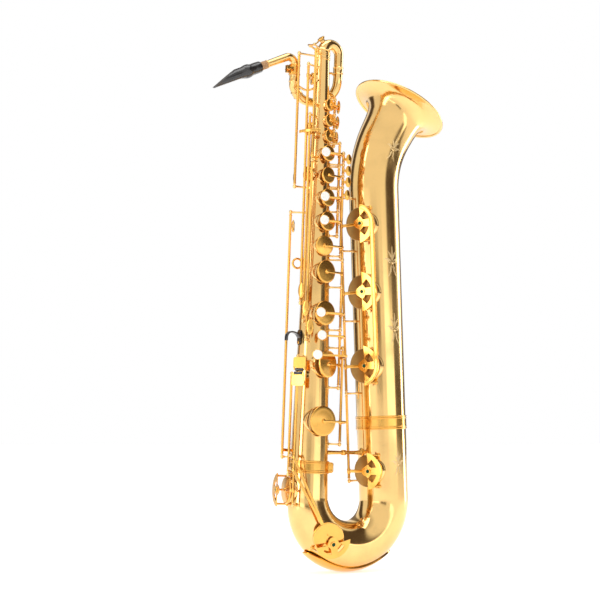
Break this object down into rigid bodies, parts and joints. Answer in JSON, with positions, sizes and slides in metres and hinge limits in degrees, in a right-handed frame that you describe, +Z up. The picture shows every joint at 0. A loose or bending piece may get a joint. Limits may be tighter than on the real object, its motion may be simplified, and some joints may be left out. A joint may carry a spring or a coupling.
{
  "type": "baritone saxophone",
  "caption": "Upright lacquered brass reed instrument with a conical body, a wide bow, a tall curved bell, sprung pad keys and a clamped neck with a black mouthpiece.",
  "frame": {"origin": "middle of the flat facet at the lowest point of the bow's guard plate", "axes": "+X from the body tube to the bell, -Y the side that the finger keys face, +Z up"},
  "size_m": [0.4777, 0.1868, 1.0191],
  "materials": {
    "lacquered_brass": "clear lacquered, polished",
    "key_brass": "clear lacquered",
    "pearl": "white pearl",
    "felt": "dark green felt",
    "ebonite": "polished black",
    "cork": "cork, matt"
  },
  "bodies": {
    "instrument": {"body_tube": "lacquered_brass", "body_bow_clamp": "key_brass", "e_flat_guard": "key_brass", "e_flat_felt": "felt", "upper_loop": "lacquered_brass", "neck_receiver": "key_brass", "neck_clamp_screw": "key_brass", "bell_brace": "key_brass", "thumb_hook": "ebonite", "strap_ring": "key_brass", "bell_bow_ferrule": "key_brass", "bell": "lacquered_brass", "low_c_sharp_guard": "key_brass", "low_c_sharp_felt": "felt", "low_b_felt": "felt", "low_b_flat_felt": "felt", "low_a_felt": "felt", "bell_key_guard": "key_brass", "bow": "lacquered_brass", "bow_guard": "key_brass", "low_c_guard": "key_brass", "low_c_felt": "felt"},
    "key_d": {"key_d": "key_brass", "pearl_d": "pearl"},
    "key_e": {"key_e": "key_brass", "pearl_e": "pearl"},
    "key_f": {"key_f": "key_brass", "pearl_f": "pearl"},
    "key_g": {"key_g": "key_brass", "pearl_g": "pearl"},
    "key_a": {"key_a": "key_brass", "pearl_a": "pearl"},
    "key_b": {"key_b": "key_brass", "pearl_b": "pearl"},
    "key_f_sharp": {"key_f_sharp": "key_brass"},
    "key_b_flat": {"key_b_flat": "key_brass"},
    "key_g_sharp": {"key_g_sharp": "key_brass"},
    "c_sharp_lever": {"c_sharp_lever": "key_brass"},
    "low_b_lever": {"low_b_lever": "key_brass"},
    "low_b_flat_lever": {"low_b_flat_lever": "key_brass"},
    "side_b_flat_key": {"side_b_flat_key": "key_brass"},
    "side_c_key": {"side_c_key": "key_brass"},
    "side_high_e_key": {"side_high_e_key": "key_brass"},
    "palm_d_key": {"palm_d_key": "key_brass"},
    "palm_e_flat_key": {"palm_e_flat_key": "key_brass"},
    "palm_f_key": {"palm_f_key": "key_brass"},
    "e_flat_key": {"e_flat_key": "key_brass"},
    "e_flat_roller": {"e_flat_roller": "ebonite"},
    "low_c_key": {"low_c_key": "key_brass"},
    "low_c_roller": {"low_c_roller": "ebonite"},
    "neck": {"neck": "lacquered_brass", "neck_cork": "cork"},
    "mouthpiece": {"mouthpiece": "ebonite"},
    "low_a_lever": {"low_a_lever": "key_brass"},
    "octave_lever": {"octave_lever": "key_brass"},
    "octave_vent_key": {"octave_vent_key": "key_brass"},
    "low_c_sharp_key": {"low_c_sharp_key": "key_brass"},
    "low_b_key": {"low_b_key": "key_brass"},
    "low_b_flat_key": {"low_b_flat_key": "key_brass"},
    "low_a_key": {"low_a_key": "key_brass"}
  },
  "joints": [
    {"name": "key_d_hinge", "type": "hinge", "parent": "instrument", "child": "key_d", "pos_m": [-0.02585, -0.02455, 0.32829], "axis": [0.0401, 0, 0.9992], "range_deg": [-7.72, 0], "stiffness_Nm_per_rad": 0.1, "springref_deg": 20.05},
    {"name": "key_e_hinge", "type": "hinge", "parent": "instrument", "child": "key_e", "pos_m": [-0.03245, -0.02868, 0.39761], "axis": [0.0401, 0, 0.9992], "range_deg": [-11.34, 0], "stiffness_Nm_per_rad": 0.1, "springref_deg": 20.05},
    {"name": "key_f_hinge", "type": "hinge", "parent": "instrument", "child": "key_f", "pos_m": [-0.02866, -0.02868, 0.49204], "axis": [0.0401, 0, 0.9992], "range_deg": [-9.56, 0], "stiffness_Nm_per_rad": 0.1, "springref_deg": 20.05},
    {"name": "key_g_hinge", "type": "hinge", "parent": "instrument", "child": "key_g", "pos_m": [-0.03126, -0.0207, 0.65377], "axis": [0.0401, 0, 0.9992], "range_deg": [-12.59, 0], "stiffness_Nm_per_rad": 0.1, "springref_deg": 20.05},
    {"name": "key_a_hinge", "type": "hinge", "parent": "instrument", "child": "key_a", "pos_m": [-0.02945, -0.0207, 0.69873], "axis": [0.0401, 0, 0.9992], "range_deg": [-12.59, 0], "stiffness_Nm_per_rad": 0.1, "springref_deg": 20.05},
    {"name": "key_b_hinge", "type": "hinge", "parent": "instrument", "child": "key_b", "pos_m": [-0.02594, -0.0207, 0.78616], "axis": [0.0401, 0, 0.9992], "range_deg": [-12.59, 0], "stiffness_Nm_per_rad": 0.1, "springref_deg": 20.05},
    {"name": "key_f_sharp_hinge", "type": "hinge", "parent": "instrument", "child": "key_f_sharp", "pos_m": [-0.02599, -0.02868, 0.55848], "axis": [0.0401, 0, 0.9992], "range_deg": [-9.79, 0], "stiffness_Nm_per_rad": 0.1, "springref_deg": 20.05},
    {"name": "key_b_flat_hinge", "type": "hinge", "parent": "instrument", "child": "key_b_flat", "pos_m": [-0.02771, -0.0207, 0.7422], "axis": [0.0401, 0, 0.9992], "range_deg": [-12.59, 0], "stiffness_Nm_per_rad": 0.1, "springref_deg": 20.05},
    {"name": "key_g_sharp_hinge", "type": "hinge", "parent": "instrument", "child": "key_g_sharp", "pos_m": [-0.02159, -0.02016, 0.65839], "axis": [0.0401, 0, 0.9992], "range_deg": [0, 9.7], "stiffness_Nm_per_rad": 0.1, "springref_deg": -20.05},
    {"name": "c_sharp_lever_hinge", "type": "hinge", "parent": "instrument", "child": "c_sharp_lever", "pos_m": [-0.0185, -0.02016, 0.73532], "axis": [0.0401, 0, 0.9992], "range_deg": [0, 8], "stiffness_Nm_per_rad": 0.1, "springref_deg": -20.05},
    {"name": "low_b_lever_hinge", "type": "hinge", "parent": "instrument", "child": "low_b_lever", "pos_m": [-0.01762, -0.02016, 0.75731], "axis": [0.0401, 0, 0.9992], "range_deg": [0, 8], "stiffness_Nm_per_rad": 0.1, "springref_deg": -20.05},
    {"name": "low_b_flat_lever_hinge", "type": "hinge", "parent": "instrument", "child": "low_b_flat_lever", "pos_m": [-0.01674, -0.02016, 0.77929], "axis": [0.0401, 0, 0.9992], "range_deg": [0, 8], "stiffness_Nm_per_rad": 0.1, "springref_deg": -20.05},
    {"name": "side_b_flat_key_hinge", "type": "hinge", "parent": "instrument", "child": "side_b_flat_key", "pos_m": [-0.09589, -0.02571, 0.60232], "axis": [0.0401, 0, 0.9992], "range_deg": [0, 9.31], "stiffness_Nm_per_rad": 0.1, "springref_deg": -20.05},
    {"name": "side_c_key_hinge", "type": "hinge", "parent": "instrument", "child": "side_c_key", "pos_m": [-0.09778, -0.01939, 0.66345], "axis": [0.0401, 0, 0.9992], "range_deg": [0, 9.52], "stiffness_Nm_per_rad": 0.1, "springref_deg": -20.05},
    {"name": "side_high_e_key_hinge", "type": "hinge", "parent": "instrument", "child": "side_high_e_key", "pos_m": [-0.09819, -0.01236, 0.72952], "axis": [0.0401, 0, 0.9992], "range_deg": [0, 10.25], "stiffness_Nm_per_rad": 0.1, "springref_deg": -20.05},
    {"name": "palm_d_key_hinge", "type": "hinge", "parent": "instrument", "child": "palm_d_key", "pos_m": [-0.03034, -0.00699, 0.82087], "axis": [0.0401, 0, 0.9992], "range_deg": [0, 10.36], "stiffness_Nm_per_rad": 0.1, "springref_deg": -20.05},
    {"name": "palm_e_flat_key_hinge", "type": "hinge", "parent": "instrument", "child": "palm_e_flat_key", "pos_m": [-0.02914, -0.00699, 0.85084], "axis": [0.0401, 0, 0.9992], "range_deg": [0, 10.36], "stiffness_Nm_per_rad": 0.1, "springref_deg": -20.05},
    {"name": "palm_f_key_hinge", "type": "hinge", "parent": "instrument", "child": "palm_f_key", "pos_m": [-0.02794, -0.00699, 0.88082], "axis": [0.0401, 0, 0.9992], "range_deg": [0, 10.36], "stiffness_Nm_per_rad": 0.1, "springref_deg": -20.05},
    {"name": "e_flat_key_hinge", "type": "hinge", "parent": "instrument", "child": "e_flat_key", "pos_m": [-0.12475, -0.02441, 0.26421], "axis": [0.0401, 0, 0.9992], "range_deg": [0, 10.74], "stiffness_Nm_per_rad": 0.1, "springref_deg": -20.05},
    {"name": "e_flat_roller_spin", "type": "hinge", "parent": "e_flat_key", "child": "e_flat_roller", "pos_m": [-0.12184, -0.0345, 0.37588], "axis": [0.5873, -0.809, -0.0236], "continuous": true},
    {"name": "low_c_key_hinge", "type": "hinge", "parent": "instrument", "child": "low_c_key", "pos_m": [-0.12902, -0.0117, 0.27639], "axis": [0.0401, 0, 0.9992], "range_deg": [0, 6.21], "stiffness_Nm_per_rad": 0.1, "springref_deg": -20.05},
    {"name": "low_c_roller_spin", "type": "hinge", "parent": "low_c_key", "child": "low_c_roller", "pos_m": [-0.12459, -0.03471, 0.36959], "axis": [0.4964, -0.8679, -0.0199], "continuous": true},
    {"name": "neck_swivel", "type": "hinge", "parent": "instrument", "child": "neck", "pos_m": [-0.10133, 0.02, 0.94912], "axis": [0.0401, 0, 0.9992], "range_deg": [-20, 20]},
    {"name": "mouthpiece_slide", "type": "slide", "parent": "neck", "child": "mouthpiece", "axis": [-0.9157, 0, -0.4019], "range_m": [-0.006, 0.008]},
    {"name": "low_a_lever_hinge", "type": "hinge", "parent": "instrument", "child": "low_a_lever", "pos_m": [-0.11477, 0.02703, 0.44645], "axis": [0.0401, 0, 0.9992], "range_deg": [0, 8], "stiffness_Nm_per_rad": 0.1, "springref_deg": -20.05},
    {"name": "octave_lever_hinge", "type": "hinge", "parent": "instrument", "child": "octave_lever", "pos_m": [-0.10505, 0.00436, 0.85189], "axis": [0.0401, 0, 0.9992], "range_deg": [0, 6], "stiffness_Nm_per_rad": 0.1, "springref_deg": -20.05},
    {"name": "octave_vent_key_hinge", "type": "hinge", "parent": "instrument", "child": "octave_vent_key", "pos_m": [-0.07332, 0, 0.99874], "axis": [0, 1, 0], "range_deg": [-7, 0], "stiffness_Nm_per_rad": 0.08, "springref_deg": 20.05},
    {"name": "low_c_sharp_key_hinge", "type": "hinge", "parent": "instrument", "child": "low_c_sharp_key", "pos_m": [0.00975, 0.00988, 0.25199], "axis": [-0.0332, 0, 0.9995], "range_deg": [0, 11.67], "stiffness_Nm_per_rad": 0.1, "springref_deg": -20.05},
    {"name": "low_b_key_hinge", "type": "hinge", "parent": "instrument", "child": "low_b_key", "pos_m": [0.00473, 0.00988, 0.4034], "axis": [-0.0332, 0, 0.9995], "range_deg": [0, 11.67], "stiffness_Nm_per_rad": 0.1, "springref_deg": -20.05},
    {"name": "low_b_flat_key_hinge", "type": "hinge", "parent": "instrument", "child": "low_b_flat_key", "pos_m": [0.00021, 0.00988, 0.53983], "axis": [-0.0332, 0, 0.9995], "range_deg": [0, 11.67], "stiffness_Nm_per_rad": 0.1, "springref_deg": -20.05},
    {"name": "low_a_key_hinge", "type": "hinge", "parent": "instrument", "child": "low_a_key", "pos_m": [-0.00372, 0.00988, 0.65826], "axis": [-0.0332, 0, 0.9995], "range_deg": [0, 11.67], "stiffness_Nm_per_rad": 0.1, "springref_deg": -20.05}
  ],
  "couplings": [
    {"joint": "key_f_sharp_hinge", "follows": "key_f_hinge", "ratio": 1.0228},
    {"joint": "key_b_flat_hinge", "follows": "key_a_hinge", "ratio": 0.999},
    {"joint": "c_sharp_lever_hinge", "follows": "low_c_sharp_key_hinge", "ratio": 0.68484},
    {"joint": "low_b_lever_hinge", "follows": "low_b_key_hinge", "ratio": 0.68484},
    {"joint": "low_b_flat_lever_hinge", "follows": "low_b_flat_key_hinge", "ratio": 0.68484},
    {"joint": "low_a_lever_hinge", "follows": "low_a_key_hinge", "ratio": 0.68484},
    {"joint": "octave_vent_key_hinge", "follows": "octave_lever_hinge", "ratio": -1.1655}
  ]
}
